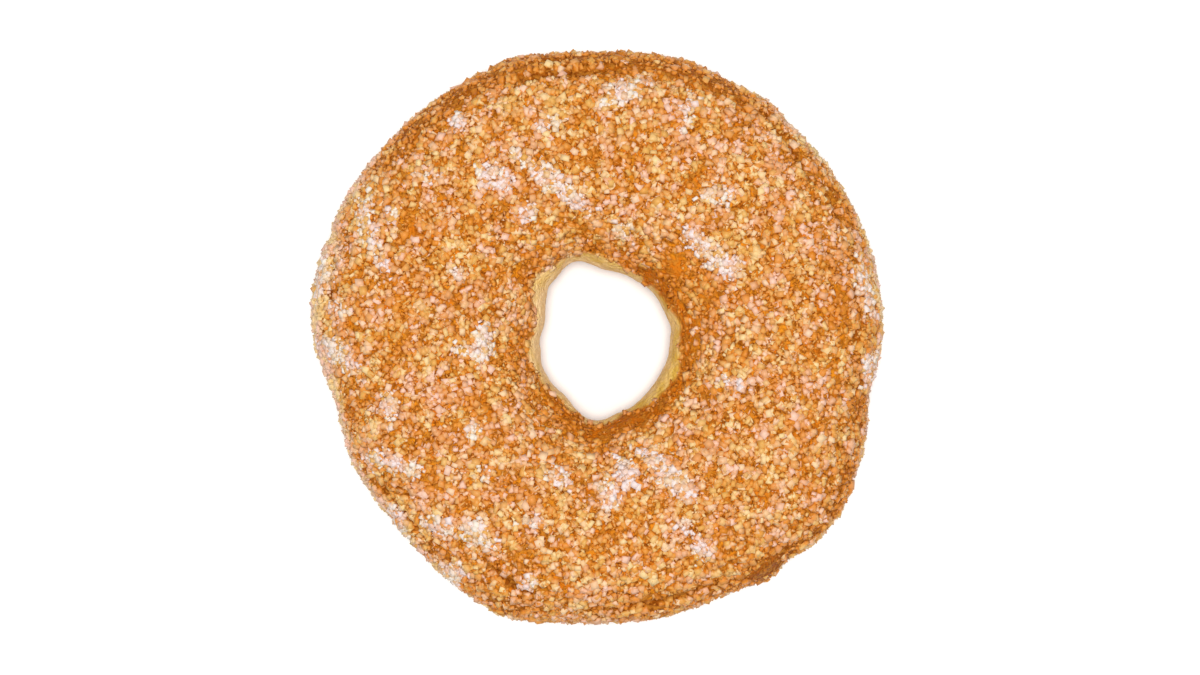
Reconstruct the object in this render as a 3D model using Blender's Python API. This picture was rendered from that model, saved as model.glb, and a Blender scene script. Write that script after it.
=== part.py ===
"""A ring doughnut rolled in coarse sugar, about 96 mm across and 31 mm high.

The fried dough is one closed solid: a rounded band carried round an uneven hole, with a flat
underside to rest on, folds under the rim of its top crust, and clumps of sugar fused to it.
"""

import math

import bpy
import numpy as np
from mathutils import Matrix, Vector

# Metres in a millimetre: the sizes below are in millimetres, and angles are in degrees.
MM = 0.001

# The ring seen from above. Bearings run counter-clockwise from +X.
OUTER_REACH = 47.8
HOLE_REACH = 11.0
HOLE_CENTRE = (1.0, -0.5)

# The band's section: its widest line stands at the equator, the crown is above it and the belly
# below, and the underside is cut off flat where the belly passes the ground.
EQUATOR = 14.0
CROWN = 16.6
BELLY = 14.7
OUTER_ROUNDNESS = 2.35
HOLE_ROUNDNESS = 2.05
CROWN_SWAY = 0.7
CROWN_HIGH_BEARING = 310.0

# Lumps of the outer edge and of the hole's edge: bearing, rise and half width of each.
OUTER_LUMPS = (
    (54, 0.7, 4),
    (72, 0.5, 7),
    (91, -0.35, 6),
    (108, 0.8, 6),
    (112, -0.5, 1.5),
    (138, -0.3, 12),
    (159.5, -0.7, 1.5),
    (195, -2.9, 12),
    (220, -2.1, 15),
    (252, 1.35, 9),
    (285, 0.35, 12),
    (305, 1.0, 5),
    (311, -0.6, 2.5),
    (320, 2.5, 15),
    (349, -1.3, 8),
)
HOLE_LUMPS = (
    (8, 0.4, 8),
    (112, 2.5, 17),
    (136, 0.9, 9),
    (165, -1.2, 14),
    (190, -0.6, 20),
    (264, 2.3, 18),
    (295, 0.8, 18),
)

# Folds under the rim of the top crust: the bearings where each starts and ends, how far inside
# the outer edge it lies at either end, its depth and its half width.
FOLDS = (
    (84, 112, 3.1, 4.5, 0.9, 1.0),
    (96, 106, 1.4, 2.1, 0.5, 0.7),
    (34, 57, 4.0, 1.5, 0.9, 1.0),
    (24, 39, 2.9, 2.6, 0.5, 0.8),
    (160, 179, 2.2, 2.9, 0.5, 0.9),
    (204, 240, 2.4, 1.8, 0.5, 0.9),
    (241, 257, 6.6, 4.8, 0.9, 1.1),
    (270, 297, 2.3, 2.7, 1.0, 0.9),
    (350, 380, 4.6, 4.0, 0.4, 1.2),
)
LIP_SHARE = 0.45

# Broad swells all over the skin, which die out at the outer and inner edges and at the ground.
SWELL_RISE = 0.22
GROUND_FADE = 5.0

# The skin's grid: columns round the ring, and rows round the section, closest at the folds.
COLUMNS = 84
FOLD_ROWS = 14
CROWN_ROWS = 13
HOLE_ROWS = 6
FLAT_ROWS = 3
FLANK_ROWS = 7
FOLD_TURN_FROM = 12.0
FOLD_TURN_TO = 54.0

# Clumps of sugar, and where they lie thickest seen from above: x, y and radius of each drift.
CLUMP_COUNT = 190
CLUMP_SEED = 7
CLUMP_EDGE = (1.1, 1.8)
CLUMP_FLATNESS = 0.75
CLUMP_GAP = 2.6
CLUMP_SINK = 0.15
CLUMP_TURN_LIMITS = (-24.0, 128.0)
CLUMP_LOWEST = 6.0
DRIFTS = (
    (-16.1, 26.5, 4),
    (-7.3, 25.2, 4),
    (12.8, -24.5, 4),
    (4.9, -23.7, 4),
    (17.8, 14.8, 4),
    (20.3, 22.7, 3),
    (-19.1, -1.8, 3),
    (-23.6, -30.8, 4),
    (-32.9, -20.5, 4),
    (-38.6, 19.5, 4),
    (-33.8, -11.8, 3),
    (3.9, 40.0, 3),
    (-34.6, 12.5, 3),
)
SHARE_OFF_DRIFTS = 0.4

# The sugared crust's colour in linear light, and its roughness.
CRUST_COLOUR = (0.687, 0.319, 0.112, 1.0)
CRUST_ROUGHNESS = 0.75


def clear_scene():
    """Removes whatever the scene holds at the start."""
    for thing in list(bpy.data.objects):
        bpy.data.objects.remove(thing, do_unlink=True)


def degrees_between(bearing, centre):
    """The signed angle from centre to bearing, between -180 and 180."""
    return (bearing - centre + 180.0) % 360.0 - 180.0


def edge_reach(bearing, base, lumps):
    """A base radius plus one bell-shaped lump for each entry, at an array of bearings."""
    reach = np.full_like(bearing, base)
    for centre, rise, half_width in lumps:
        reach += rise * np.exp(-((degrees_between(bearing, centre) / half_width) ** 2))
    return reach


def plan(bearing):
    """The section at each bearing seen from above: its middle, its outward direction and its half
    width. It runs from the hole's edge to the outer edge."""
    angle = np.radians(bearing)
    ray = np.stack([np.cos(angle), np.sin(angle)], axis=-1)
    outer = ray * edge_reach(bearing, OUTER_REACH, OUTER_LUMPS)[..., None]
    inner = ray * edge_reach(bearing, HOLE_REACH, HOLE_LUMPS)[..., None] + np.array(HOLE_CENTRE)
    half = np.linalg.norm(outer - inner, axis=-1) / 2
    return (outer + inner) / 2, (outer - inner) / (2 * half[..., None]), half


def fold_relief(bearing, across, up, half, crown):
    """Height of the folds over the plain section. Each is a groove along a line at a set distance
    inside the outer edge, deepest midway, with a low lip on its outer side."""
    relief = np.zeros_like(across)
    for start, end, inset_start, inset_end, depth, width in FOLDS:
        along = np.clip(((bearing - start) % 360.0) / (end - start), 0.0, 1.0)
        strength = np.sin(math.pi * along) ** 0.7
        line = 1.0 - (inset_start + (inset_end - inset_start) * along) / half
        line_up = (1.0 - line**OUTER_ROUNDNESS) ** (1.0 / OUTER_ROUNDNESS)
        distance = np.hypot((across - line) * half, (up - line_up) * crown)
        distance = np.where(across > line, distance, -distance)
        groove = np.exp(-((distance / width) ** 2))
        lip = np.exp(-(((distance - 2.0 * width) / (1.3 * width)) ** 2))
        relief += depth * strength * (LIP_SHARE * lip - groove)
    return relief


def swells(bearing, turn):
    """Low broad waves over the skin: three sines that close round the ring and the section, times
    the sine of the turn, so that the outline from above keeps to its lumps."""
    angle = np.radians(bearing)
    spin = np.radians(turn)
    waves = np.sin(7 * angle + 1.3 * np.sin(spin) + 0.9)
    waves += 0.8 * np.sin(11 * angle - 2 * spin + 2.1)
    waves += 0.7 * np.sin(4 * angle + 3 * spin + 4.0)
    return SWELL_RISE * waves * np.abs(np.sin(spin))


def skin(bearing, turn):
    """Points of the skin in millimetres, at arrays of bearing and turn. The turn goes round the
    section, from the outer equator over the crown (90) to the hole's waist (180) and back under."""
    middle, outward, half = plan(bearing)
    cosine = np.cos(np.radians(turn))
    sine = np.sin(np.radians(turn))
    power = np.where(cosine > 0, OUTER_ROUNDNESS, HOLE_ROUNDNESS)
    across = np.sign(cosine) * np.abs(cosine) ** (2.0 / power)
    up = np.sign(sine) * np.abs(sine) ** (2.0 / power)
    crown = CROWN + CROWN_SWAY * np.cos(np.radians(bearing - CROWN_HIGH_BEARING))
    rise = np.where(up > 0, crown, BELLY)

    slope_across = np.sign(across) * np.abs(across) ** (power - 1.0) / half
    slope_up = np.sign(up) * np.abs(up) ** (power - 1.0) / rise
    steepness = np.hypot(slope_across, slope_up)
    height = EQUATOR + up * rise
    fade = np.clip(height / GROUND_FADE, 0.0, 1.0) ** 2
    relief = fade * (swells(bearing, turn) + fold_relief(bearing, across, up, half, crown))

    sideways = across * half + relief * slope_across / steepness
    height = np.maximum(height + relief * slope_up / steepness, 0.0)
    flat = middle + outward * sideways[..., None]
    return np.stack([flat[..., 0], flat[..., 1], height], axis=-1)


def section_turns():
    """The rows' places round the section. Two of them fall on the edges of the flat underside."""
    cut = EQUATOR / BELLY
    flat_from = 180.0 + math.degrees(math.asin(cut ** (HOLE_ROUNDNESS / 2.0)))
    flat_to = 360.0 - math.degrees(math.asin(cut ** (OUTER_ROUNDNESS / 2.0)))
    stops = (
        (FOLD_TURN_FROM, FOLD_TURN_TO, FOLD_ROWS),
        (FOLD_TURN_TO, 180.0, CROWN_ROWS),
        (180.0, flat_from, HOLE_ROWS),
        (flat_from, flat_to, FLAT_ROWS),
        (flat_to, 360.0 + FOLD_TURN_FROM, FLANK_ROWS),
    )
    return np.concatenate([np.linspace(a, b, count, endpoint=False) for a, b, count in stops])


def crust_material():
    """Golden fried crust under sugar, matt."""
    material = bpy.data.materials.new("sugared_crust")
    material.use_nodes = True
    shader = material.node_tree.nodes["Principled BSDF"]
    shader.inputs["Base Color"].default_value = CRUST_COLOUR
    shader.inputs["Roughness"].default_value = CRUST_ROUGHNESS
    shader.inputs["Metallic"].default_value = 0.0
    return material


def make_ring():
    """The dough ring, as a closed grid of quads round the ring and round its section."""
    turns = section_turns()
    rows = len(turns)
    bearings = np.arange(COLUMNS) * 360.0 / COLUMNS
    bearing, turn = np.meshgrid(bearings, turns, indexing="ij")
    points = (skin(bearing, turn) * MM).reshape(-1, 3)
    faces = []
    for column in range(COLUMNS):
        here = column * rows
        there = (column + 1) % COLUMNS * rows
        for row in range(rows):
            above = (row + 1) % rows
            faces.append((here + row, there + row, there + above, here + above))
    mesh = bpy.data.meshes.new("doughnut")
    mesh.from_pydata(points.tolist(), [], faces)
    mesh.materials.append(crust_material())
    ring = bpy.data.objects.new("doughnut", mesh)
    bpy.context.scene.collection.objects.link(ring)
    return ring


def skin_frame(bearing, turn):
    """A skin point in millimetres as a Vector, and the outward normal there."""
    step = 0.5
    place = skin(np.array([bearing]), np.array([turn]))[0]
    ahead = skin(np.array([bearing + step]), np.array([turn]))[0] - place
    over = skin(np.array([bearing]), np.array([turn + step]))[0] - place
    return Vector(place), Vector(np.cross(ahead, over)).normalized()


def sugar_share(place):
    """How likely a clump is to stay at a point: all in a drift, a set share elsewhere."""
    share = SHARE_OFF_DRIFTS
    for x, y, radius in DRIFTS:
        share += math.exp(-((place.x - x) ** 2 + (place.y - y) ** 2) / radius**2)
    return share


def clump_places(rng):
    """Even places over the crown and flanks: golden-ratio steps in bearing and turn, thinned away
    from the drifts and kept apart. No clump is low on the side or on the hole's bare wall."""
    places = []
    low, high = CLUMP_TURN_LIMITS
    count = 0
    while len(places) < CLUMP_COUNT:
        count += 1
        bearing = 360.0 * (count * 0.7548776662 % 1.0)
        turn = low + (high - low) * (count * 0.5698402910 % 1.0)
        place, normal = skin_frame(bearing, turn)
        if place.z < CLUMP_LOWEST or rng.random() > sugar_share(place):
            continue
        if all((place - other).length > CLUMP_GAP for other, _ in places):
            places.append((place, normal))
    return places


def make_clumps():
    """Blocks of sugar over half sunk in the crust, each turned and sized by a seeded draw."""
    rng = np.random.default_rng(CLUMP_SEED)
    corners = [(x, y, z) for x in (-0.5, 0.5) for y in (-0.5, 0.5) for z in (-0.5, 0.5)]
    sides = [(0, 1, 3, 2), (4, 6, 7, 5), (0, 4, 5, 1), (2, 3, 7, 6), (0, 2, 6, 4), (1, 5, 7, 3)]
    block = bpy.data.meshes.new("sugar_block")
    block.from_pydata(corners, [], sides)
    collection = bpy.data.collections.new("sugar")
    bpy.context.scene.collection.children.link(collection)
    for index, (place, normal) in enumerate(clump_places(rng)):
        edges = rng.uniform(*CLUMP_EDGE, size=3) * (1.0, 1.0, CLUMP_FLATNESS)
        lean = Matrix.Rotation(rng.uniform(-0.5, 0.5), 4, "X")
        spin = Matrix.Rotation(rng.uniform(0.0, math.pi), 4, "Z")
        stand = normal.to_track_quat("Z", "Y").to_matrix().to_4x4()
        size = Matrix.Diagonal((*(edges * MM), 1.0))
        clump = bpy.data.objects.new(f"clump_{index}", block)
        centre = (place - normal * CLUMP_SINK) * MM
        clump.matrix_world = Matrix.Translation(centre) @ stand @ spin @ lean @ size
        collection.objects.link(clump)
    return collection


def fuse(ring, collection):
    """Joins the clumps to the ring in one union, and removes what went into it."""
    union = ring.modifiers.new("fused_sugar", "BOOLEAN")
    union.operation = "UNION"
    union.operand_type = "COLLECTION"
    union.collection = collection
    union.solver = "EXACT"
    bpy.context.view_layer.objects.active = ring
    bpy.ops.object.modifier_apply(modifier=union.name)
    block = collection.objects[0].data
    for clump in list(collection.objects):
        bpy.data.objects.remove(clump, do_unlink=True)
    bpy.data.collections.remove(collection)
    bpy.data.meshes.remove(block)


clear_scene()
doughnut = make_ring()
fuse(doughnut, make_clumps())
doughnut.data.shade_smooth()
doughnut.data.set_sharp_from_angle(angle=math.radians(40))
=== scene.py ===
"""Looks of a sugared ring doughnut: its fried dough, its coat of sugar, and a pale studio."""

import math

import bpy
import numpy as np
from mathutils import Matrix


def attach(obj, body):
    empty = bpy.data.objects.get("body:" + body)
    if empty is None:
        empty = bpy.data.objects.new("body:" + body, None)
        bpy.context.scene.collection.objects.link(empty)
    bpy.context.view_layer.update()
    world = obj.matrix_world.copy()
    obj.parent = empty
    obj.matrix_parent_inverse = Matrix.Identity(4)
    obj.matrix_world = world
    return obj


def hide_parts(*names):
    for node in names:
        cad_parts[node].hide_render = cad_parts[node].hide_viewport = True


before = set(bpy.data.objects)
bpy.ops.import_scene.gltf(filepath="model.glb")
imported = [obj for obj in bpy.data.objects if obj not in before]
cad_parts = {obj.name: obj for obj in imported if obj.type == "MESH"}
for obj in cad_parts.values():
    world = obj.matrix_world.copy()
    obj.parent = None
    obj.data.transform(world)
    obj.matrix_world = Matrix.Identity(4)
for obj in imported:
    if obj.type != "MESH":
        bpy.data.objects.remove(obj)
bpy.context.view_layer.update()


# The dough ring
# A ring of yeast dough fried on both sides: a golden brown crust above and below, and a pale band
# between them that floated above the fat, wide open in the hole. The crust folds under its rim.
# Sizes are in millimetres and angles in degrees; bearings run counter-clockwise from +X.
MM = 0.001
OUTER_REACH = 47.8
HOLE_REACH = 11.0
HOLE_CENTRE = (1.0, -0.5)
EQUATOR = 14.0
CROWN = 16.6
BELLY = 14.7
OUTER_ROUNDNESS = 2.35
HOLE_ROUNDNESS = 2.05
CROWN_SWAY = 0.7
CROWN_HIGH_BEARING = 310.0

# Lumps of the outer edge and of the hole's edge: bearing, rise and half width of each.
OUTER_LUMPS = (
    (54, 0.7, 4),
    (72, 0.5, 7),
    (91, -0.35, 6),
    (108, 0.8, 6),
    (112, -0.5, 1.5),
    (138, -0.3, 12),
    (159.5, -0.7, 1.5),
    (195, -2.9, 12),
    (220, -2.1, 15),
    (252, 1.35, 9),
    (285, 0.35, 12),
    (305, 1.0, 5),
    (311, -0.6, 2.5),
    (320, 2.5, 15),
    (349, -1.3, 8),
)
HOLE_LUMPS = (
    (8, 0.4, 8),
    (112, 2.5, 17),
    (136, 0.9, 9),
    (165, -1.2, 14),
    (190, -0.6, 20),
    (264, 2.3, 18),
    (295, 0.8, 18),
)

# Folds under the rim: bearings of both ends, inset of both ends, depth and half width.
FOLDS = (
    (84, 112, 3.1, 4.5, 0.9, 1.0),
    (96, 106, 1.4, 2.1, 0.5, 0.7),
    (34, 57, 4.0, 1.5, 0.9, 1.0),
    (24, 39, 2.9, 2.6, 0.5, 0.8),
    (160, 179, 2.2, 2.9, 0.5, 0.9),
    (204, 240, 2.4, 1.8, 0.5, 0.9),
    (241, 257, 6.6, 4.8, 0.9, 1.1),
    (270, 297, 2.3, 2.7, 1.0, 0.9),
    (350, 380, 4.6, 4.0, 0.4, 1.2),
)
# The lip beside each fold: its height as a share of the fold's depth, and how far out its crest
# lies and how wide it is, in half widths of the fold.
LIP_SHARE = 0.45
LIP_PLACE = 2.0
LIP_WIDTH = 1.3
# A fold fades out at both ends by the sine along it to this power.
FOLD_ENDS = 0.7
SWELL_RISE = 0.22
# Relief fades out below this height, towards the flat that the ring rests on.
GROUND_FADE = 5.0

# The dough's skin lies this far under the solid's, which leaves room for the sugar, and less far,
# by this share, in the hole, where no sugar lies. Across runs from -1 at the hole to 1 outside.
COAT = 0.5
COAT_LESS_IN_HOLE = 0.45
COAT_THINS_FROM = 0.83
COAT_THINS_OVER = 0.12
# Pores: the size and the depth of each mottle that roughens the skin.
PORES = ((2.4, 0.16), (1.1, 0.09))
DOUGH_COLUMNS = 440
DOUGH_ROWS = 224

# The pale band: how far out from the hole's edge it shows in the hole and how high it comes on
# the outer side, each a base value and lumps by bearing.
HOLE_BAND = (
    1.2,
    (
        (328, 0.85, 26),
        (92, 0.9, 14),
        (144, 1.4, 18),
        (193, 0.65, 12),
        (262, -0.6, 26),
        (286, -0.5, 8),
        (45, -0.55, 24),
    ),
)
SIDE_BAND = (16.0, ((187, 5.0, 45), (3, 3.5, 25), (48, 2.5, 12), (95, -4.0, 25), (285, -3.0, 30)))
BAND_FOOT = 7.0
# How soft the band's edges are in the hole and on the side, and how they waver along the ring: the
# size, the rise and the seed of each mottle, read on a level circle of this radius.
BAND_SOFTNESS = 0.7
SIDE_SOFTNESS = 2.5
BAND_WAVER = ((4.0, 0.2, 41), (1.5, 0.3, 42))
WAVER_RADIUS = 25.0
# The band runs from olive, 0, to cream, 1: by bearing, palest at the hole's very edge, and on the
# outer side.
BAND_PALENESS = (0.08, ((175, 0.55, 42), (115, 0.15, 30), (298, -0.3, 14)))
EDGE_PALENESS = 0.7
EDGE_REACH = 0.7
SIDE_PALENESS = 0.75

# Darker crust round the hole, by bearing, in a ring just past the band's edge, and along the rim, whose
# brown and white stretches have their middle this far inside its edge. The underside is browner all
# over, by this much twice. The fold grooves get painted shade, darker by so much for each millimetre of
# their depth, less what the shallowest are spared.
HOLE_BROWN = (
    0.12,
    (
        (278, 0.35, 30),
        (316, 0.3, 20),
        (60, 0.3, 12),
        (38, 0.2, 10),
        (5, 0.25, 20),
        (115, -0.2, 38),
    ),
)
HOLE_BROWN_WIDTH = (1.1, ((276, 0.8, 28), (60, 0.5, 14)))
HOLE_BROWN_PLACE = 0.7
RIM_PLACE = 0.8
RIM_BROWN_WIDTH = 3.0
UNDER_BROWN = 0.3
FOLD_SHADE = 3.0
FOLD_CLEAR = 0.4
RIM_BROWN = (
    0.55,
    (
        (12, -0.2, 14),
        (45, -0.15, 9),
        (66, 0.3, 11),
        (97, 0.3, 13),
        (133, 0.25, 14),
        (175, -0.5, 26),
        (225, -0.2, 16),
        (250, 0.15, 6),
        (280, 0.15, 8),
        (306, 0.5, 7),
        (330, 0.15, 14),
    ),
)

# How much sugar lies on the dough, 0 to 1: all over, under the ring as a share of that, and how
# far it sways where it lies thicker or thinner, a sum of mottles by size, weight and seed.
COVER_ALL_OVER = 0.62
COVER_UNDER = 0.4
COVER_SWAY = 0.24
THICK_AND_THIN = ((3.4, 0.25, 11), (1.7, 0.75, 12))
# What brown crust and the bare ring round the hole take off it as a share, what a rubbed place
# takes off it, and how quickly it ends at the band in the hole. Below the waist nothing sticks to
# the hole's wall past this share of the half width. The underside lies lower than this height.
COVER_LOST = 0.95
COVER_RUBBED = 0.6
BAND_CLEARS = 1.6
HOLE_WALL = 0.6
UNDERSIDE_HEIGHT = 1.0
# The bare ring round the hole: how bare it is by bearing, and how far past the band its middle
# lies and how wide it is.
HOLE_BARE = (0.6, ((285, 0.45, 45), (30, 0.4, 45), (108, -0.45, 30), (150, -0.25, 30), (205, -0.25, 16)))
HOLE_BARE_REACH = (1.0, 2.2)
# Places where the sugar was rubbed off or never stuck, seen from above: x, y, half length, half
# width, lean from +X, and how much of the sugar is missing. They fade in up the flanks, from this
# far above the waist and over so much more. The places and leans of 23 rows come from a separate
# script that picked the photograph's less pale patches out, and are rounded, not chosen by hand.
FLANK_CLEAR = 1.5
FLANK_FADE = 5.0
BARE_PLACES = (
    # Round the hole
    (13.0, 11.5, 2.7, 1.9, 150, 1.0),
    (18.0, 6.0, 2.4, 1.6, 90, 0.5),
    (-10.5, 13.0, 5.0, 1.7, 50, 0.5),
    (-19.5, -11.0, 3.6, 1.5, 150, 0.3),
    # The upper half
    (16.0, 23.5, 2.7, 1.5, 70, 0.35),
    (28.5, 14.5, 2.0, 0.9, 105, 0.3),
    (-0.5, 29.0, 3.0, 1.1, 45, 0.35),
    (-6.0, 30.5, 1.5, 1.2, 35, 0.35),
    (-19.0, 18.5, 2.1, 1.3, 175, 0.35),
    (-30.0, 19.5, 4.4, 1.5, 80, 0.3),
    (-32.5, 5.0, 2.4, 0.9, 15, 0.3),
    # The lower half
    (1.0, -33.5, 3.0, 1.2, 50, 0.35),
    (18.5, -22.5, 2.8, 0.9, 70, 0.35),
    (22.5, -34.0, 4.5, 2.4, 25, 0.35),
    (-12.5, -36.0, 3.0, 1.5, 50, 0.35),
    (-26.5, -22.0, 4.2, 1.7, 105, 0.35),
    # Along the upper rim
    (40.0, 21.5, 4.0, 1.4, 120, 0.35),
    (32.5, 29.5, 2.2, 1.0, 175, 0.4),
    (24.0, 37.5, 3.4, 1.5, 140, 0.4),
    (17.0, 41.5, 4.0, 1.7, 160, 0.5),
    (10.5, 43.5, 4.0, 1.4, 170, 0.45),
    (3.0, 43.5, 4.0, 1.3, 180, 0.45),
    (-13.5, 43.5, 4.2, 1.5, 20, 0.45),
    (-22.5, 39.5, 4.2, 1.6, 35, 0.45),
    (-30.0, 33.0, 3.8, 1.4, 50, 0.45),
    # Along the left rim
    (-41.0, 9.5, 1.6, 1.2, 45, 0.4),
    (-38.0, 1.0, 2.1, 1.0, 95, 0.3),
    (-40.0, -11.5, 3.3, 1.5, 80, 0.35),
    (-35.5, -24.5, 2.5, 0.8, 175, 0.5),
    (-25.0, -35.5, 1.4, 1.1, 175, 0.5),
    # Along the lower and the right rim
    (-15.5, -41.5, 3.2, 1.4, 110, 0.4),
    (8.5, -43.5, 6.4, 1.3, 175, 0.45),
    (26.5, -38.5, 5.2, 2.1, 20, 0.5),
    (40.5, -24.0, 3.8, 1.5, 70, 0.4),
    (43.0, -10.5, 1.4, 1.2, 20, 0.4),
    (39.0, -7.0, 3.2, 0.9, 105, 0.35),
    (40.5, 3.5, 4.8, 1.6, 95, 0.7),
)

# How bare crust and dust show: bare where the cover is thin, and dust less on the band.
BARE_AT_NONE = 1.2
BARE_FALL = 4.0
DUST_ON_CRUST = 0.6
DUST_LESS_ON_BAND = 0.5

CRUST_GOLD = (0.68, 0.24, 0.011, 1.0)
CRUST_AMBER = (0.62, 0.165, 0.006, 1.0)
CRUST_DARK = (0.18, 0.040, 0.001, 1.0)
BAND_OLIVE = (0.73, 0.475, 0.08, 1.0)
BAND_CREAM = (0.97, 0.74, 0.42, 1.0)
DUST_COLOUR = (0.60, 0.23, 0.025, 1.0)

# The crust's noises, by the size of their specks: broad patches, which have more detail, small specks
# and pits, and those of the painted shade between the sugar crystals, of the amber and of the cream.
CRUST_PATCH = (5.0, 3.0)
CRUST_SPECK = 0.9
CRUST_PIT = 0.45
SHADE_SPECK = 0.7
AMBER_SPECK = 2.6
CREAM_SPECK = 2.0
# The part of a noise's run that counts, and what it becomes: how much browner the crust gets, how dark
# the painted shade under the sugar makes it, how much amber, cream and melted sugar show, and how rough
# it is.
BROWN_BY_PATCH = (0.3, 0.7, -0.08, 0.12)
BROWN_BY_SPECK = (0.35, 0.65, -0.4, 0.4)
BROWN_BY_PIT = (0.35, 0.65, 0.25, -0.25)
SHADE_BY_NOISE = (0.4, 0.6, 0.4, 1.7)
AMBER_BY_NOISE = (0.38, 0.6)
CREAM_BY_NOISE = (0.3, 0.7, -0.3, 0.3)
DUST_BY_SPECK = (0.45, 0.62)
ROUGH_BY_PATCH = (0.3, 0.7, 0.6, 0.8)
CRUST_GLOSS = 0.05
SPECK_DEPTH = 0.35
PIT_DEPTH = 0.18


def by_bearing(bearing, base, lumps):
    """A base value plus, for each lump, its rise times exp(-(angle away / half width) squared)."""
    value = np.full_like(bearing, base)
    for centre, rise, half_width in lumps:
        away = (bearing - centre + 180.0) % 360.0 - 180.0
        value += rise * np.exp(-((away / half_width) ** 2))
    return value


def smooth(value):
    """An S-shaped ramp from 0 to 1 as value goes from 0 to 1: 3 v squared - 2 v cubed."""
    value = np.clip(value, 0.0, 1.0)
    return value * value * (3.0 - 2.0 * value)


def section(bearing, turn):
    """The plain section at each bearing and turn. Seen from above it runs straight from the hole's
    edge to the outer edge; upright it is the curve |x|^n + |z|^n = 1, where n is the roundness."""
    angle = np.radians(bearing)
    ray = np.stack([np.cos(angle), np.sin(angle)], axis=-1)
    outer = ray * by_bearing(bearing, OUTER_REACH, OUTER_LUMPS)[..., None]
    inner = ray * by_bearing(bearing, HOLE_REACH, HOLE_LUMPS)[..., None] + np.array(HOLE_CENTRE)
    half = np.linalg.norm(outer - inner, axis=-1) / 2
    outward = (outer - inner) / (2 * half[..., None])
    cosine = np.cos(np.radians(turn))
    sine = np.sin(np.radians(turn))
    power = np.where(cosine > 0, OUTER_ROUNDNESS, HOLE_ROUNDNESS)
    across = np.sign(cosine) * np.abs(cosine) ** (2.0 / power)
    up = np.sign(sine) * np.abs(sine) ** (2.0 / power)
    crown = CROWN + CROWN_SWAY * np.cos(np.radians(bearing - CROWN_HIGH_BEARING))
    return (outer + inner) / 2, outward, half, across, up, crown, power


def fold_relief(bearing, across, up, half, crown):
    """Height of the folds: for each, a groove exp(-(d / width) squared) about a line inside the
    outer edge, and a low lip of the same form further out, both strongest midway along."""
    relief = np.zeros_like(across)
    for start, end, inset_start, inset_end, depth, width in FOLDS:
        along = np.clip(((bearing - start) % 360.0) / (end - start), 0.0, 1.0)
        strength = np.sin(math.pi * along) ** FOLD_ENDS
        line = 1.0 - (inset_start + (inset_end - inset_start) * along) / half
        line_up = (1.0 - line**OUTER_ROUNDNESS) ** (1.0 / OUTER_ROUNDNESS)
        distance = np.hypot((across - line) * half, (up - line_up) * crown)
        distance = np.where(across > line, distance, -distance)
        groove = np.exp(-((distance / width) ** 2))
        lip = np.exp(-(((distance - LIP_PLACE * width) / (LIP_WIDTH * width)) ** 2))
        relief += depth * strength * (LIP_SHARE * lip - groove)
    return relief


def swells(bearing, turn):
    """Low broad waves over the skin: three sines that close round the ring and the section, times
    the sine of the turn, so that the outline from above keeps to its lumps."""
    angle = np.radians(bearing)
    spin = np.radians(turn)
    waves = np.sin(7 * angle + 1.3 * np.sin(spin) + 0.9)
    waves += 0.8 * np.sin(11 * angle - 2 * spin + 2.1)
    waves += 0.7 * np.sin(4 * angle + 3 * spin + 4.0)
    return SWELL_RISE * waves * np.abs(np.sin(spin))


LATTICE = 32
LATTICE_SHIFT = 500.0


def mottle(points, size, seed):
    """Soft random values from -1 to 1: a random number at each corner of a cubic lattice of the
    given size, blended smoothly between the eight corners round each point."""
    table = np.random.default_rng(seed).uniform(-1.0, 1.0, (LATTICE, LATTICE, LATTICE))
    scaled = points / size + LATTICE_SHIFT
    cell = np.floor(scaled).astype(int)
    part = smooth(scaled - cell)
    total = np.zeros(points.shape[:-1])
    for corner in np.ndindex(2, 2, 2):
        at = (cell + corner) % LATTICE
        share = np.where(np.array(corner) == 1, part, 1.0 - part).prod(axis=-1)
        total += share * table[at[..., 0], at[..., 1], at[..., 2]]
    return total


def dough_skin(bearing, turn):
    """Points of the dough: the solid's skin, sunk by the coat's depth and roughened by pores. The
    relief moves each point along the normal of the section's curve."""
    middle, outward, half, across, up, crown, power = section(bearing, turn)
    rise = np.where(up > 0, crown, BELLY)
    slope_across = np.sign(across) * np.abs(across) ** (power - 1.0) / half
    slope_up = np.sign(up) * np.abs(up) ** (power - 1.0) / rise
    steepness = np.hypot(slope_across, slope_up)
    height = EQUATOR + up * rise
    flat = middle + outward * (across * half)[..., None]
    plain = np.concatenate([flat, height[..., None]], axis=-1)
    fade = np.clip(height / GROUND_FADE, 0.0, 1.0) ** 2
    relief = fade * (swells(bearing, turn) + fold_relief(bearing, across, up, half, crown))
    in_hole = smooth((-across - COAT_THINS_FROM) / COAT_THINS_OVER)
    relief -= COAT * (1.0 - COAT_LESS_IN_HOLE * in_hole)
    for seed, (size, depth) in enumerate(PORES):
        relief += depth * mottle(plain, size, seed)
    push = (relief / steepness)[..., None]
    moved = flat + outward * push * slope_across[..., None]
    height = np.maximum(height + push[..., 0] * slope_up, COAT)
    return np.concatenate([moved, height[..., None]], axis=-1)


def band_waver(bearing):
    """How far the band's edges stray at each bearing: mottles read round a level circle, so that
    they close round the ring."""
    angle = np.radians(bearing)
    circle = WAVER_RADIUS * np.stack([np.cos(angle), np.sin(angle), np.zeros_like(angle)], axis=-1)
    return sum(rise * mottle(circle, size, seed) for size, rise, seed in BAND_WAVER)


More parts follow.
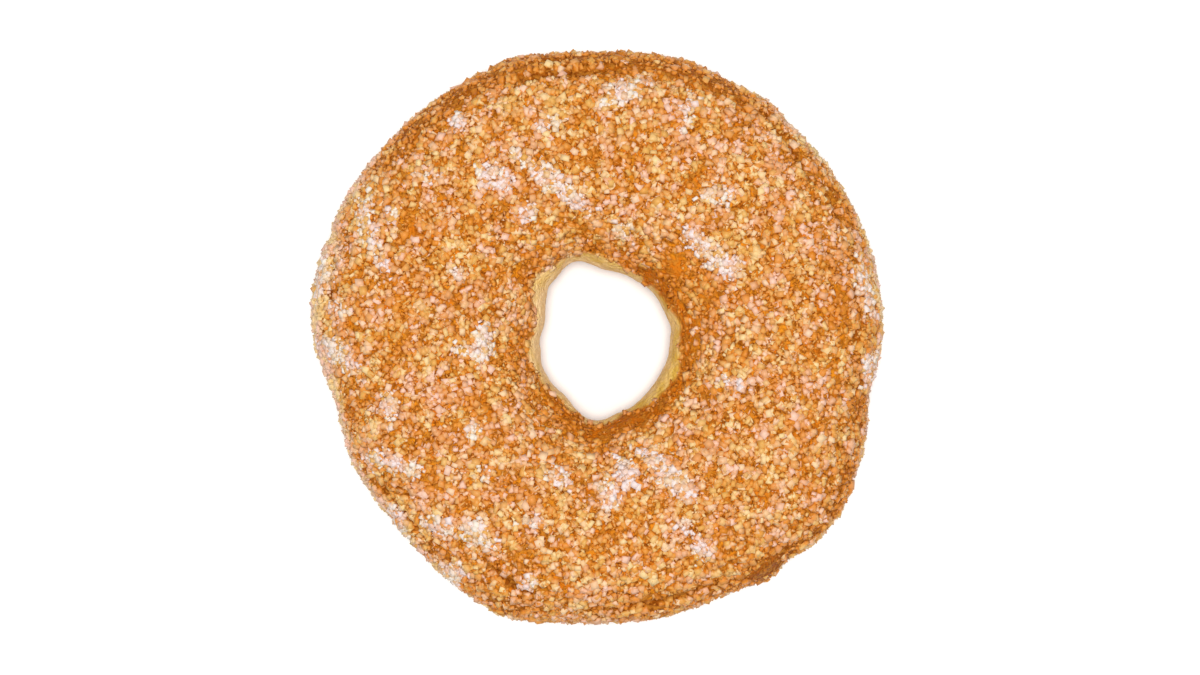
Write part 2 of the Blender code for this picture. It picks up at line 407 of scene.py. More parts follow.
def band_share(bearing, turn):
    """How much of each point is pale band, 0 to 1: in the hole between the underside's crust and
    the band's upper edge, and likewise on the outer side. Each edge is an S-shaped ramp about its
    line, as wide as the edge is soft."""
    half, across, up, crown = section(bearing, turn)[2:6]
    height = EQUATOR + up * np.where(up > 0, crown, BELLY)
    waver = band_waver(bearing)
    hole_line = by_bearing(bearing, *HOLE_BAND) + waver
    hole_top = smooth((hole_line - (across + 1.0) * half) / BAND_SOFTNESS + 0.5)
    side_line = by_bearing(bearing, *SIDE_BAND) + 2 * waver
    side_top = smooth((side_line - height) / SIDE_SOFTNESS + 0.5)
    foot = smooth((height - BAND_FOOT - 2 * waver) / SIDE_SOFTNESS + 0.5)
    top = np.where(across < 0, np.where(up > 0, hole_top, 1.0), side_top)
    return top * foot


def along_rim(half, across, width):
    """Nearness to the rim, 0 to 1: exp(-((distance inside the edge - place) / width) squared)."""
    return np.exp(-((((1.0 - across) * half - RIM_PLACE) / width) ** 2))


def brown_and_fold_shade(bearing, turn):
    """How much darker than gold the crust is, 0 to 1: in a ring just outside the hole's band, of
    the form exp(-(distance / width) squared), along the rim where its bearing says so, and as painted
    shade in the grooves of the folds."""
    half, across, up, crown = section(bearing, turn)[2:6]
    past_band = (across + 1.0) * half - by_bearing(bearing, *HOLE_BAND)
    width = by_bearing(bearing, *HOLE_BROWN_WIDTH)
    ring = np.exp(-(((past_band - HOLE_BROWN_PLACE * width) / width) ** 2))
    ring = np.where(across < 0, ring, 0.0) * by_bearing(bearing, *HOLE_BROWN)
    rim = along_rim(half, across, RIM_BROWN_WIDTH) * by_bearing(bearing, *RIM_BROWN)
    # Painted shade in the fold grooves, darker where they are deeper.
    folds = -FOLD_SHADE * fold_relief(bearing, across, up, half, crown) - FOLD_CLEAR
    above = np.where(up > 0, ring, UNDER_BROWN) + np.where(up > 0, rim, UNDER_BROWN)
    return np.clip(above + np.clip(folds, 0.0, 1.0), 0.0, 1.0)


def streaks(points, places):
    """For places of x, y, half length, half width, lean and share, the sum of share times
    exp(-(distance along / half length) squared - (distance aside / half width) squared), fading
    out down the flanks."""
    total = np.zeros(points.shape[:-1])
    for x, y, length, width, lean, share in places:
        angle = math.radians(lean)
        dx = points[..., 0] - x
        dy = points[..., 1] - y
        along = (dx * math.cos(angle) + dy * math.sin(angle)) / length
        aside = (dy * math.cos(angle) - dx * math.sin(angle)) / width
        total += share * np.exp(-(along**2 + aside**2))
    return total * smooth((points[..., 2] - EQUATOR - FLANK_CLEAR) / FLANK_FADE)


def thin_by_hole(bearing, across, half):
    """How bare the crust is near the hole: exp(-((distance past the band - place) / reach) squared)
    times a value by bearing."""
    past_band = (across + 1.0) * half - by_bearing(bearing, *HOLE_BAND)
    thin = np.exp(-(((past_band - HOLE_BARE_REACH[0]) / HOLE_BARE_REACH[1]) ** 2))
    return np.where(across < 0, thin, 0.0) * by_bearing(bearing, *HOLE_BARE)


def thick_and_thin(points):
    """Where sugar lies thicker or thinner, about -1 to 1: mottles of two sizes, weighted."""
    return sum(weight * mottle(points, size, seed) for size, weight, seed in THICK_AND_THIN)


def coat(bearing, turn, points):
    """How thickly the sugar lies, 0 to 1: an even cover, mottled at two sizes, less in the bare
    places, on brown crust, round the hole and under the ring, and none on the band in the hole."""
    half, across = section(bearing, turn)[2:4]
    rubbed = COVER_RUBBED * streaks(points, BARE_PLACES)
    cover = COVER_ALL_OVER + COVER_SWAY * thick_and_thin(points) - rubbed
    rim_and_folds = brown_and_fold_shade(bearing, turn) * (across > 0)
    by_hole = thin_by_hole(bearing, across, half)
    cover = cover * (1.0 - COVER_LOST * rim_and_folds) * (1.0 - COVER_LOST * by_hole)
    on_band = smooth(BAND_CLEARS * band_share(bearing, turn))
    in_hole = (across < 0) * np.where(points[..., 2] > EQUATOR, on_band, across < -HOLE_WALL)
    cover = np.clip(cover, 0.0, 1.0) * (1.0 - in_hole)
    return np.where(points[..., 2] < UNDERSIDE_HEIGHT, COVER_UNDER * cover, cover)


def new_piece(name, points, faces, material):
    """A mesh object of the given points, in millimetres, and faces of equally many corners."""
    mesh = bpy.data.meshes.new(name)
    mesh.vertices.add(len(points))
    mesh.vertices.foreach_set("co", (points * MM).astype(np.float32).ravel())
    mesh.loops.add(faces.size)
    mesh.loops.foreach_set("vertex_index", faces.astype(np.int32).ravel())
    mesh.polygons.add(len(faces))
    mesh.polygons.foreach_set("loop_start", np.arange(0, faces.size, faces.shape[1], dtype=np.int32))
    mesh.update(calc_edges=True)
    mesh.materials.append(material)
    piece = bpy.data.objects.new(name, mesh)
    bpy.context.scene.collection.objects.link(piece)
    return piece


def set_values(piece, name, values):
    """A number for each vertex of the piece, which its material reads by name."""
    piece.data.attributes.new(name, "FLOAT", "POINT").data.foreach_set(
        "value", values.astype(np.float32).ravel()
    )


def set_map(piece, places):
    """The piece's own map: a place in the unit square for each corner of each face."""
    piece.data.uv_layers.new(name="OFBake").uv.foreach_set(
        "vector", places.astype(np.float32).ravel()
    )


class Finish:
    """A node material, built up one node at a time."""

    def __init__(self, name):
        self.material = bpy.data.materials.new(name)
        self.material.use_nodes = True
        self.tree = self.material.node_tree
        self.shader = self.tree.nodes["Principled BSDF"]
        self.place = self.add("ShaderNodeTexCoord").outputs["Object"]

    def add(self, kind, **settings):
        """A new node of the given kind, with its settings."""
        node = self.tree.nodes.new(kind)
        for key, value in settings.items():
            setattr(node, key, value)
        return node

    def join(self, source, target):
        """Links a socket, or sets a plain value."""
        if isinstance(source, bpy.types.NodeSocket):
            self.tree.links.new(source, target)
        else:
            target.default_value = source

    def value(self, name):
        """The number of that name that set_values gave each vertex."""
        return self.add("ShaderNodeAttribute", attribute_name=name).outputs["Fac"]

    def noise(self, size, detail=2.0):
        """Noise whose specks are about size millimetres wide."""
        node = self.add("ShaderNodeTexNoise")
        node.inputs["Scale"].default_value = 1.0 / (size * MM)
        node.inputs["Detail"].default_value = detail
        self.join(self.place, node.inputs["Vector"])
        return node.outputs["Fac"]

    def ramp(self, source, low, high, to_low=0.0, to_high=1.0):
        """Source from low to high becomes to_low to to_high, and is held outside."""
        node = self.add("ShaderNodeMapRange")
        values = (source, low, high, to_low, to_high)
        for socket, value in zip(("Value", "From Min", "From Max", "To Min", "To Max"), values):
            self.join(value, node.inputs[socket])
        return node.outputs["Result"]

    def combine(self, operation, first, second):
        """First and second put together by a math node's operation, each a socket or a value."""
        node = self.add("ShaderNodeMath", operation=operation)
        self.join(first, node.inputs[0])
        self.join(second, node.inputs[1])
        return node.outputs[0]

    def blend(self, share, first, second):
        """The first colour going to the second as share goes from 0 to 1."""
        node = self.add("ShaderNodeMix", data_type="RGBA")
        self.join(share, node.inputs["Factor"])
        self.join(first, node.inputs["A"])
        self.join(second, node.inputs["B"])
        return node.outputs["Result"]

    def bump(self, height, distance, below=None):
        """A skin raised by height times distance, in millimetres, over the skin below it."""
        node = self.add("ShaderNodeBump")
        node.inputs["Distance"].default_value = distance * MM
        self.join(height, node.inputs["Height"])
        if below is not None:
            self.join(below, node.inputs["Normal"])
        return node.outputs["Normal"]


def dough_finish():
    """Fried crust: gold and amber going to dark brown by the brown value, three noises and a painted
    shade under the sugar, darker where the sugar lies thicker; olive to cream where the band shows;
    fine melted sugar in specks, a faint oily gloss and a pitted skin."""
    finish = Finish("fried_dough")
    patch = finish.noise(*CRUST_PATCH)
    speck = finish.noise(CRUST_SPECK)
    pit = finish.noise(CRUST_PIT)
    brown = finish.combine("ADD", finish.value("brown"), finish.ramp(patch, *BROWN_BY_PATCH))
    brown = finish.combine("ADD", brown, finish.ramp(speck, *BROWN_BY_SPECK))
    brown = finish.combine("ADD", brown, finish.ramp(pit, *BROWN_BY_PIT))
    # Painted shade: the crust darkens where the sugar lies thick, standing in for the shade between the
    # crystals.
    shade = finish.ramp(finish.noise(SHADE_SPECK), *SHADE_BY_NOISE)
    brown = finish.combine("ADD", brown, finish.combine("MULTIPLY", finish.value("cover"), shade))
    amber = finish.ramp(finish.noise(AMBER_SPECK), *AMBER_BY_NOISE)
    amber = finish.combine("ADD", amber, finish.value("bare"))
    gold = finish.blend(finish.ramp(amber, 0.0, 1.0), CRUST_GOLD, CRUST_AMBER)
    crust = finish.blend(finish.ramp(brown, 0.0, 1.0), gold, CRUST_DARK)
    creamy = finish.ramp(finish.noise(CREAM_SPECK), *CREAM_BY_NOISE)
    pale = finish.combine("ADD", finish.value("pale"), creamy)
    cream = finish.blend(finish.ramp(pale, 0.0, 1.0), BAND_OLIVE, BAND_CREAM)
    colour = finish.blend(finish.value("band"), crust, cream)
    dust = finish.combine("MULTIPLY", finish.ramp(speck, *DUST_BY_SPECK), finish.value("dust"))
    finish.join(finish.blend(dust, colour, DUST_COLOUR), finish.shader.inputs["Base Color"])
    finish.join(finish.ramp(patch, *ROUGH_BY_PATCH), finish.shader.inputs["Roughness"])
    finish.join(CRUST_GLOSS, finish.shader.inputs["Specular IOR Level"])
    rough = finish.bump(speck, SPECK_DEPTH, finish.bump(pit, PIT_DEPTH))
    finish.join(rough, finish.shader.inputs["Normal"])
    return finish.material


def make_dough():
    """The ring as a closed grid of quads, with columns by bearing and rows by turn, and the values
    that its finish reads: band, brown, pale, cover, bare and dust."""
    bearings = np.arange(DOUGH_COLUMNS) * 360.0 / DOUGH_COLUMNS
    turns = np.arange(DOUGH_ROWS) * 360.0 / DOUGH_ROWS
    bearing, turn = np.meshgrid(bearings, turns, indexing="ij")
    points = dough_skin(bearing, turn).reshape(-1, 3)
    column, row = np.meshgrid(np.arange(DOUGH_COLUMNS), np.arange(DOUGH_ROWS), indexing="ij")
    steps = ((0, 0), (1, 0), (1, 1), (0, 1))
    faces = np.stack(
        [(column + c) % DOUGH_COLUMNS * DOUGH_ROWS + (row + r) % DOUGH_ROWS for c, r in steps], axis=-1
    ).reshape(-1, 4)
    places = np.stack(
        [np.stack([(column + c) / DOUGH_COLUMNS, (row + r) / DOUGH_ROWS], axis=-1) for c, r in steps],
        axis=-2,
    )
    piece = new_piece("dough_ring", points, faces, dough_finish())
    set_map(piece, places)
    band = band_share(bearing, turn)
    set_values(piece, "band", band)
    # The brown value holds the painted shade of the fold grooves too.
    set_values(piece, "brown", brown_and_fold_shade(bearing, turn))
    half, across = section(bearing, turn)[2:4]
    edge = EDGE_PALENESS * np.exp(-(across + 1.0) * half / EDGE_REACH)
    pale = by_bearing(bearing, *BAND_PALENESS) + edge
    outside = np.cos(np.radians(turn)) > 0
    set_values(piece, "pale", np.where(outside, SIDE_PALENESS, pale))
    cover = coat(bearing, turn, dough_skin(bearing, turn))
    # The cover also sets how much painted shade the crust gets under the sugar.
    set_values(piece, "cover", cover)
    set_values(piece, "bare", np.clip(BARE_AT_NONE - BARE_FALL * cover, 0.0, 1.0))
    set_values(piece, "dust", DUST_ON_CRUST - DUST_LESS_ON_BAND * band)
    piece.data.shade_smooth()
    return piece


dough = make_dough()
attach(dough, "root")
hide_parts("doughnut")


# The coat of sugar
# Coarse granulated sugar that the warm doughnut was rolled in: blocky crystals, most lying singly
# with crust between them, some half melted into it. They stick where the crust was moist.
BLOCK_EDGE = (0.7, 1.1)
BLOCK_SUNK = 0.6
BLOCK_DRAWS = 60000
BLOCK_SPACING = 0.68
BLOCK_MOST = 13000
BLOCK_TINT = 0.635

# How a crystal's three edges vary, how far its corners stray as a share of them, and how far it
# leans.
STRETCH = (0.55, 1.35)
STRAY = 0.14
LEAN = 55.0
# A crystal's tint runs from 0, amber, to 1, white. It varies by patches a few crystals wide, of
# which this share follows the cover and the rest a mottle of its own, and by the crystal's luck.
PATCHINESS = 0.46
PATCH_WITH_COVER = 0.6
PATCH_APART = 0.4
PATCH_SIZE = 1.5
OWN_TINT = 0.29
# What the tint gains on the pale band and along the white stretches of the rim, and what it loses
# where crystals melted: on brown crust, in the bare places and round the hole.
BAND_TINT = 0.6
RIM_WHITE = (
    0.0,
    (
        (166, 0.5, 20),
        (208, 0.25, 10),
        (230, 0.35, 12),
        (8, 0.2, 9),
        (46, 0.3, 10),
        (268, 0.2, 8),
    ),
)
RIM_WHITE_WIDTH = 2.5
MELTED_ON_BROWN = 0.3
MELTED_IN_BARE_PLACES = 0.8
MELTED_ROUND_HOLE = 0.5
# Painted shade at each crystal's foot, where it meets the crust: below this height, a share of a
# crystal's size, its tint falls by so much for each of its sizes down, into a dark brown.
FOOT_SHADE_BELOW = 0.25
FOOT_SHADE_STRENGTH = 1.0
# Pinkish and creamy crystals lie in patches of this size, and each strays by so much.
PINK_PATCH = 2.0
PINK_OWN = 0.3

# The dark brown of the painted shade at the crystals' feet.
FOOT_SHADE_BROWN = (0.20, 0.045, 0.002, 1.0)
AMBER_SUGAR = (0.635, 0.212, 0.015, 1.0)
PEACH_SUGAR = (0.62, 0.325, 0.075, 1.0)
ROSE_SUGAR = (0.62, 0.288, 0.112, 1.0)
CREAM_SUGAR = (0.745, 0.525, 0.245, 1.0)
PINK_SUGAR = (0.745, 0.465, 0.345, 1.0)

# Where the tint takes one colour to the next: the dark brown of the painted shade at the crystals' feet
# to amber, amber to peach or rose, and those to white.
TO_AMBER = (-0.5, 0.05)
TO_MIDDLE = (0.0, 0.5)
TO_WHITE = (0.5, 1.0)
# The cloud inside a crystal and the frost on its skin: the size of each noise, the part of its run
# that counts and what it becomes, a change of tint or a roughness.
CLOUD_SPECK = 0.5
TINT_BY_CLOUD = (0.3, 0.7, -0.08, 0.08)
FROST_SPECK = 0.3
ROUGH_BY_FROST = (0.35, 0.65, 0.4, 0.6)
FROST_DEPTH = 0.03
SUGAR_GLOSS = 0.25

# The dough's skin in cells, which crystals are drawn from: their points, areas and cover.
CELL_COLUMNS = 900
CELL_ROWS = 300
cell_bearing, cell_turn = np.meshgrid(
    np.arange(CELL_COLUMNS) * 360.0 / CELL_COLUMNS,
    np.arange(CELL_ROWS) * 360.0 / CELL_ROWS,
    indexing="ij",
)
cell_points = dough_skin(cell_bearing, cell_turn)
next_column = np.roll(cell_points, -1, axis=0) - cell_points
next_row = np.roll(cell_points, -1, axis=1) - cell_points
cell_area = np.linalg.norm(np.cross(next_column, next_row), axis=-1)
cell_cover = coat(cell_bearing, cell_turn, cell_points)


CUBES = 4096
CUBE_SHIFT = 1000.0


def scatter(rng, draws, cover, spacing, most):
    """Bearings and turns for grains: cells drawn by area times cover, with a random place in each,
    kept where no earlier one shares a cube of the given spacing, and at most so many. A cube's
    three numbers become one code."""
    weight = np.cumsum((cell_area * cover).ravel())
    cell = np.searchsorted(weight, rng.random(draws) * weight[-1])
    bearing = cell_bearing.ravel()[cell] + rng.random(draws) * 360.0 / CELL_COLUMNS
    turn = cell_turn.ravel()[cell] + rng.random(draws) * 360.0 / CELL_ROWS
    cube = np.floor(cell_points.reshape(-1, 3)[cell] / spacing + CUBE_SHIFT).astype(np.int64)
    code = (cube[:, 0] * CUBES + cube[:, 1]) * CUBES + cube[:, 2]
    kept = np.sort(np.unique(code, return_index=True)[1])[:most]
    return bearing[kept], turn[kept]


NEIGHBOUR_STEP = 0.4


def grain_frames(bearing, turn):
    """Skin points, and for each the two tangents and the outward normal, as rows of a matrix. They
    come from neighbours a small step of bearing and of turn away."""
    place = dough_skin(bearing, turn)
    ahead = dough_skin(bearing + NEIGHBOUR_STEP, turn) - place
    over = dough_skin(bearing, turn + NEIGHBOUR_STEP) - place
    normal = np.cross(ahead, over)
    normal /= np.linalg.norm(normal, axis=-1)[:, None]
    along = ahead / np.linalg.norm(ahead, axis=-1)[:, None]
    return place, np.stack([along, np.cross(normal, along), normal], axis=1)


def turned(rng, count, lean):
    """Random turns: a spin about the normal, then a lean of up to the given degrees about x and a
    spin again, each as a matrix for every grain."""
    spin = rng.uniform(0.0, 2 * math.pi, (2, count))
    tip = np.radians(rng.uniform(-lean, lean, count))
    zero = np.zeros(count)
    one = np.ones(count)
    first, second = (
        np.array([[np.cos(s), -np.sin(s), zero], [np.sin(s), np.cos(s), zero], [zero, zero, one]])
        for s in spin
    )
    lean_over = np.array(
        [[one, zero, zero], [zero, np.cos(tip), -np.sin(tip)], [zero, np.sin(tip), np.cos(tip)]]
    )
    return np.einsum("ijn,jkn,kln->nil", second, lean_over, first)


def sugar_finish(name, cream, pink):
    """Sugar over crust: each crystal has its own tint, from amber where it has melted in, through
    peach or rose to white, which is creamy or pinkish, with a faint cloud inside and a frosted skin.
    Towards its foot the tint runs into a dark brown, a painted shade where the crystal meets the crust."""
    finish = Finish(name)
    cloud = finish.ramp(finish.noise(CLOUD_SPECK), *TINT_BY_CLOUD)
    tint = finish.combine("ADD", finish.value("tint"), cloud)
    middle = finish.blend(finish.value("pink"), PEACH_SUGAR, ROSE_SUGAR)
    # Painted shade: low tints, at the crystals' feet, run from amber into a dark brown.
    foot = finish.blend(finish.ramp(tint, *TO_AMBER), FOOT_SHADE_BROWN, AMBER_SUGAR)
    lower = finish.blend(finish.ramp(tint, *TO_MIDDLE), foot, middle)
    white = finish.blend(finish.value("pink"), cream, pink)
    colour = finish.blend(finish.ramp(tint, *TO_WHITE), lower, white)
    finish.join(colour, finish.shader.inputs["Base Color"])
    frost = finish.noise(FROST_SPECK)
    finish.join(finish.ramp(frost, *ROUGH_BY_FROST), finish.shader.inputs["Roughness"])
    finish.join(SUGAR_GLOSS, finish.shader.inputs["Specular IOR Level"])
    finish.join(finish.bump(frost, FROST_DEPTH), finish.shader.inputs["Normal"])
    return finish.material


MAP_MARGIN = 0.15


def grain_places(count, sides):
    """Places in the map: the unit square is cut into a square cell for each grain, and each of its
    sides fills the middle of that cell."""
    across = math.ceil(math.sqrt(count))
    cell = np.stack([np.arange(count) % across, np.arange(count) // across], axis=-1)
    low, high = MAP_MARGIN, 1.0 - MAP_MARGIN
    square = np.array([(low, low), (high, low), (high, high), (low, high)])[: sides.shape[1]]
    return (cell[:, None, None, :] + square[None, None, :, :]).repeat(len(sides), axis=1) / across


def grain_piece(rng, name, shape, bearing, turn, edges, sunk, lift, tint, material):
    """One kind of crystal: its corners, each moved a little, stretched to the crystal's edges,
    turned, set on the skin with the given share of its height sunk in it, lifted where they lie
    heaped, and kept off the floor."""
    corners, sides = shape
    count = len(bearing)
    place, axes = grain_frames(bearing, turn)
    size = rng.uniform(*edges, count)[:, None] * rng.uniform(*STRETCH, (count, 3))
    loose = corners + rng.uniform(-STRAY, STRAY, (count, len(corners), 3))
    local = np.einsum("nij,nkj->nki", turned(rng, count, LEAN), loose * size[:, None, :])
    height = size.mean(axis=1)
    local[..., 2] += ((0.5 - sunk) * height + lift)[:, None]
    points = place[:, None, :] + np.einsum("nki,nij->nkj", local, axes)
    points[..., 2] -= np.minimum(points[..., 2].min(axis=1), 0.0)[:, None]
    faces = (np.arange(count)[:, None, None] * len(corners) + sides).reshape(-1, sides.shape[1])
    piece = new_piece(name, points.reshape(-1, 3), faces, material)
    # Painted shade: the tint falls towards each crystal's foot.
    melted = FOOT_SHADE_STRENGTH * np.clip(FOOT_SHADE_BELOW - local[..., 2] / height[:, None], 0.0, 1.0)
    set_values(piece, "tint", tint[:, None] - melted)
    pink = 0.5 + mottle(place, PINK_PATCH, 51) + PINK_OWN * rng.standard_normal(count)
    set_values(piece, "pink", np.repeat(np.clip(pink, 0.0, 1.0), len(corners)))
    set_map(piece, grain_places(count, sides))
    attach(piece, "root")
    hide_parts("doughnut")
    return piece


WHITEST = 1.2


def tints(rng, bearing, turn, base):
    """A tint for each grain, 0 amber to 1 white: its kind's own, a part shared by patches a few
    grains wide, and a random part, more on the pale band and along the white stretches of the rim,
    and less on brown crust, in the bare places and round the hole, where what sugar there is has
    melted and taken the crust's colour."""
    place = dough_skin(bearing, turn)
    shared = PATCH_WITH_COVER * thick_and_thin(place) + PATCH_APART * mottle(place, PATCH_SIZE, 31)
    half, across = section(bearing, turn)[2:4]
    rim = along_rim(half, across, RIM_WHITE_WIDTH) * by_bearing(bearing, *RIM_WHITE)
    own = OWN_TINT * rng.standard_normal(len(bearing))
    melted = MELTED_ON_BROWN * brown_and_fold_shade(bearing, turn)
    melted += MELTED_IN_BARE_PLACES * streaks(place, BARE_PLACES)
    melted += MELTED_ROUND_HOLE * thin_by_hole(bearing, across, half)
    pale = BAND_TINT * band_share(bearing, turn)
    return np.clip(base + PATCHINESS * shared + rim + pale - melted + own, 0.0, WHITEST)


BLOCK = (
    np.array([(x, y, z) for x in (-0.5, 0.5) for y in (-0.5, 0.5) for z in (-0.5, 0.5)]),
    np.array([(0, 1, 3, 2), (4, 6, 7, 5), (0, 4, 5, 1), (2, 3, 7, 6), (0, 2, 6, 4), (1, 5, 7, 3)]),
)
sugar = sugar_finish("granulated_sugar", CREAM_SUGAR, PINK_SUGAR)
rng = np.random.default_rng(21)
bearing, turn = scatter(rng, BLOCK_DRAWS, cell_cover, BLOCK_SPACING, BLOCK_MOST)
tint = tints(rng, bearing, turn, BLOCK_TINT)
grain_piece(rng, "sugar_blocks", BLOCK, bearing, turn, BLOCK_EDGE, BLOCK_SUNK, 0.0, tint, sugar)


# Broken sugar
# Crystals that split in the bag or on the tray, wedge shaped and smaller, filling in between the
# whole ones. Many have softened into the crust and taken its colour.
WEDGE_EDGE = (0.55, 0.9)
WEDGE_SUNK = 0.5
WEDGE_DRAWS = 90000
WEDGE_EVENNESS = 0.85
WEDGE_SPACING = 0.55
WEDGE_MOST = 15000
WEDGE_TINT = 0.435
WEDGE = (
    np.array([(x, y, z) for y in (-0.5, 0.5) for x, z in ((-0.5, -0.4), (0.5, -0.4), (0.0, 0.5))]),
    np.array([(0, 1, 2), (3, 5, 4), (0, 3, 4), (0, 4, 1), (1, 4, 5), (1, 5, 2), (2, 5, 3), (2, 3, 0)]),
)
wedge_cover = cell_cover**WEDGE_EVENNESS
bearing, turn = scatter(rng, WEDGE_DRAWS, wedge_cover, WEDGE_SPACING, WEDGE_MOST)
tint = tints(rng, bearing, turn, WEDGE_TINT)
grain_piece(rng, "sugar_wedges", WEDGE, bearing, turn, WEDGE_EDGE, WEDGE_SUNK, 0.0, tint, sugar)


# Drifts of sugar
# Where the ring lay in the sugar or was pressed, the crystals stay heaped in short pale streaks,
# two or three deep and nearly white.

# Each drift has the same six values as a bare place, the last being how thickly it is heaped. The
# places and leans of 23 rows come from a separate script's list of the photograph's pale patches,
# and are rounded, not chosen by hand.
DRIFTS = (
    # Above the hole, to the left and to the right
    (-11.0, 28.5, 2.2, 0.7, 140, 1.0),
    (-7.5, 26.0, 2.4, 1.1, 140, 1.2),
    (-3.0, 22.5, 1.9, 0.9, 140, 1.2),
    (-16.5, 26.0, 2.0, 1.2, 150, 1.2),
    (-11.0, 20.5, 1.1, 0.8, 55, 0.7),
    (-7.0, 35.0, 1.9, 0.8, 5, 0.3),
    (4.5, 17.5, 1.3, 1.0, 140, 0.45),
    (4.5, 40.0, 2.2, 1.1, 20, 1.15),
    (15.0, 36.5, 2.6, 0.9, 80, 0.25),
    (17.0, 15.5, 2.2, 1.0, 140, 1.0),
    (21.0, 12.0, 2.3, 1.2, 140, 1.1),
    (20.0, 23.0, 1.9, 0.9, 5, 1.1),
    # Left of the hole
    (-19.0, -1.0, 2.3, 0.9, 90, 1.4),
    (-21.5, -2.5, 1.6, 0.8, 165, 0.9),
    (-23.0, 10.5, 1.1, 0.8, 15, 0.35),
    (-22.5, 35.0, 1.0, 0.8, 135, 0.9),
    (-28.0, 26.5, 1.5, 0.7, 170, 0.25),
    # Below the hole
    (9.5, -21.0, 2.2, 1.0, 135, 0.8),
    (13.5, -24.5, 2.2, 1.1, 135, 1.05),
    (5.0, -23.0, 1.7, 1.1, 115, 1.2),
    (2.0, -26.5, 1.4, 1.1, 100, 1.4),
    (-6.5, -23.5, 1.7, 1.0, 155, 0.6),
    (-19.0, -23.0, 1.2, 0.9, 15, 0.35),
    (-20.5, -15.5, 0.9, 0.8, 115, 0.7),
    (-10.5, -30.5, 1.7, 0.8, 175, 0.2),
    (14.5, -31.0, 0.9, 0.8, 70, 0.6),
    (17.0, -35.0, 1.4, 1.0, 90, 0.6),
    (22.0, -8.0, 2.1, 0.9, 165, 0.2),
    # Along the left rim
    (-33.5, 20.0, 0.8, 0.8, 60, 0.85),
    (-38.0, 20.0, 2.0, 0.9, 100, 0.8),
    (-36.5, 15.5, 1.6, 0.6, 105, 0.45),
    (-35.0, 11.5, 1.6, 0.7, 115, 0.6),
    (-45.0, 10.0, 2.6, 1.0, 80, 0.5),
    (-42.0, 4.5, 1.3, 0.6, 165, 0.35),
    (-42.5, -2.5, 2.4, 1.2, 145, 0.7),
    (-34.0, -11.5, 1.9, 0.9, 100, 0.8),
    (-35.0, -20.0, 2.2, 1.1, 165, 0.5),
    (-31.0, -21.5, 1.8, 1.1, 165, 0.6),
    # Along the lower and the right rim
    (-32.5, -30.0, 1.9, 0.7, 115, 0.6),
    (-25.5, -31.0, 2.4, 0.9, 160, 0.5),
    (-19.5, -32.5, 1.8, 1.2, 150, 1.1),
    (-23.5, -39.0, 1.5, 1.1, 15, 0.8),
    (-11.0, -40.5, 1.0, 0.8, 25, 0.9),
    (45.0, -5.5, 1.7, 0.9, 90, 0.6),
    (44.0, 8.0, 3.4, 0.8, 100, 0.3),
)
DRIFT_EDGE = (0.45, 0.9)
DRIFT_SUNK = 0.3
DRIFT_DRAWS = 40000
DRIFT_SPACING = 0.3
DRIFT_MOST = 3600
DRIFT_DEPTH = 0.5
DRIFT_TINT = (0.8, 0.22)
DRIFT_CREAM = (0.73, 0.655, 0.56, 1.0)
DRIFT_PINK = (0.72, 0.60, 0.58, 1.0)

drift_sugar = sugar_finish("drifted_sugar", DRIFT_CREAM, DRIFT_PINK)
drift_cover = streaks(cell_points, DRIFTS)
bearing, turn = scatter(rng, DRIFT_DRAWS, drift_cover, DRIFT_SPACING, DRIFT_MOST)
heap = np.clip(streaks(dough_skin(bearing, turn), DRIFTS), 0.0, 1.0)
lift = DRIFT_DEPTH * rng.random(len(turn)) * heap
tint = np.clip(rng.normal(*DRIFT_TINT, len(turn)), 0.0, 1.0)
grain_piece(
    rng, "drifted_crystals", BLOCK, bearing, turn, DRIFT_EDGE, DRIFT_SUNK, lift, tint, drift_sugar
)


# Fine sugar
# The smallest grains and chips of the same sugar, four-sided splinters that lie in the gaps between
# the crystals and dust them. They cling wherever the crust was moist.
CHIP_EDGE = (0.35, 0.6)
CHIP_SUNK = 0.4
CHIP_DRAWS = 90000
CHIP_EVENNESS = 0.8
CHIP_SPACING = 0.4
CHIP_MOST = 14000
CHIP_TINT = 0.465
CHIP = (
    np.array([(0.5, 0.5, 0.5), (-0.5, -0.5, 0.5), (-0.5, 0.5, -0.5), (0.5, -0.5, -0.5)]),
    np.array([(0, 2, 1), (0, 3, 2), (0, 1, 3), (1, 2, 3)]),
)
chip_cover = cell_cover**CHIP_EVENNESS
bearing, turn = scatter(rng, CHIP_DRAWS, chip_cover, CHIP_SPACING, CHIP_MOST)
tint = tints(rng, bearing, turn, CHIP_TINT)
grain_piece(rng, "sugar_chips", CHIP, bearing, turn, CHIP_EDGE, CHIP_SUNK, 0.0, tint, sugar)


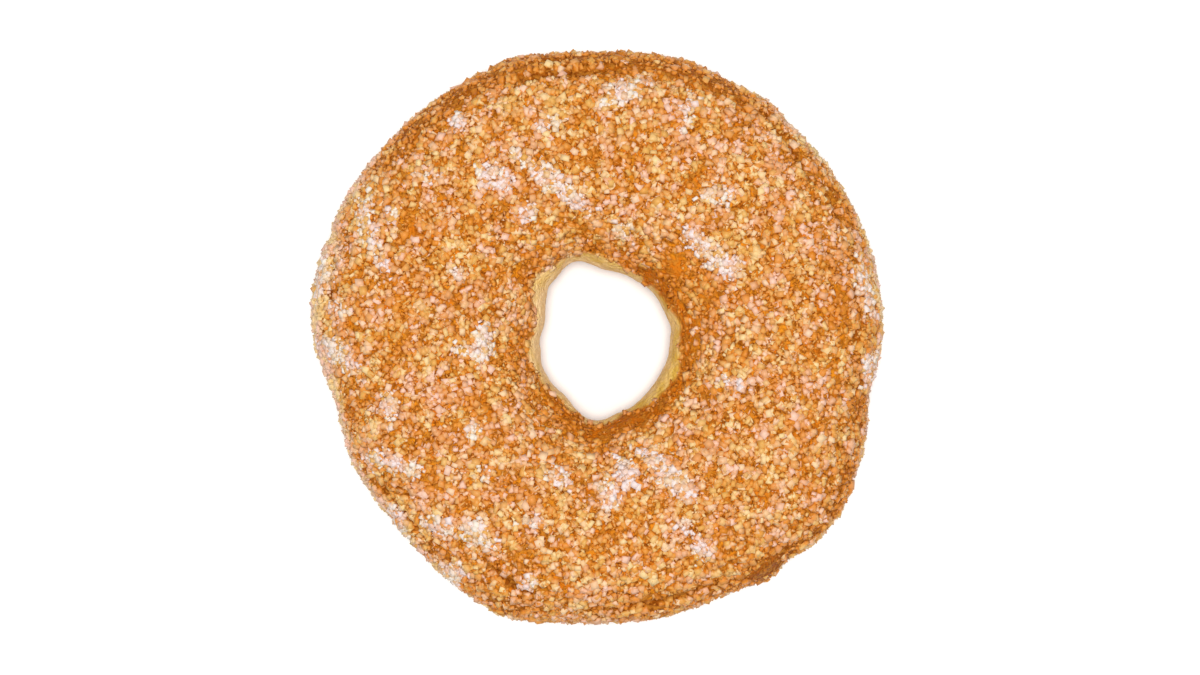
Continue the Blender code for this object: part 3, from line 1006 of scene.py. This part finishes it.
# The studio
# A white floor under a round soft lamp straight overhead, with plain light from all round, and a
# camera that looks straight down as the photograph's does.
PHOTO_SIZE = (1200, 675)
PHOTO_MIDDLE = (596.5, 336.0)
PHOTO_PIXELS_PER_MM = 6.0
LENS = 150.0
SENSOR = 36.0
LAMP_HEIGHT = 1200.0
LAMP_SIZE = 240.0
LAMP_POWER = 12.15
ROOM_LIGHT = 0.62
FLOOR_SIZE = 4000.0
FLOOR_CORNERS = ((-0.5, -0.5), (0.5, -0.5), (0.5, 0.5), (-0.5, 0.5))
FLOOR_ROUGHNESS = 0.9
WHITE = (1.0, 1.0, 1.0, 1.0)

floor_material = bpy.data.materials.new("pale_floor")
floor_material.use_nodes = True
floor_shader = floor_material.node_tree.nodes["Principled BSDF"]
floor_shader.inputs["Base Color"].default_value = WHITE
floor_shader.inputs["Roughness"].default_value = FLOOR_ROUGHNESS
floor_points = np.array([(x * FLOOR_SIZE, y * FLOOR_SIZE, 0.0) for x, y in FLOOR_CORNERS])
floor = new_piece("floor", floor_points, np.array([(0, 1, 2, 3)]), floor_material)

lamp = bpy.data.lights.new("softbox", "AREA")
lamp.shape = "DISK"
lamp.size = LAMP_SIZE * MM
lamp.energy = LAMP_POWER
softbox = bpy.data.objects.new("softbox", lamp)
softbox.location = (0.0, 0.0, LAMP_HEIGHT * MM)
bpy.context.scene.collection.objects.link(softbox)

room = bpy.data.worlds.new("room")
room.use_nodes = True
room_light = room.node_tree.nodes["Background"]
room_light.inputs["Color"].default_value = WHITE
room_light.inputs["Strength"].default_value = ROOM_LIGHT
bpy.context.scene.world = room

camera_data = bpy.data.cameras.new("camera")
camera_data.lens = LENS
camera_data.sensor_width = SENSOR
camera = bpy.data.objects.new("camera", camera_data)
distance = LENS / SENSOR * PHOTO_SIZE[0] / PHOTO_PIXELS_PER_MM
camera.location = (
    (PHOTO_SIZE[0] / 2 - PHOTO_MIDDLE[0]) / PHOTO_PIXELS_PER_MM * MM,
    (PHOTO_MIDDLE[1] - PHOTO_SIZE[1] / 2) / PHOTO_PIXELS_PER_MM * MM,
    (EQUATOR + distance) * MM,
)
bpy.context.scene.collection.objects.link(camera)
bpy.context.scene.camera = camera
bpy.context.scene.view_settings.view_transform = "Standard"
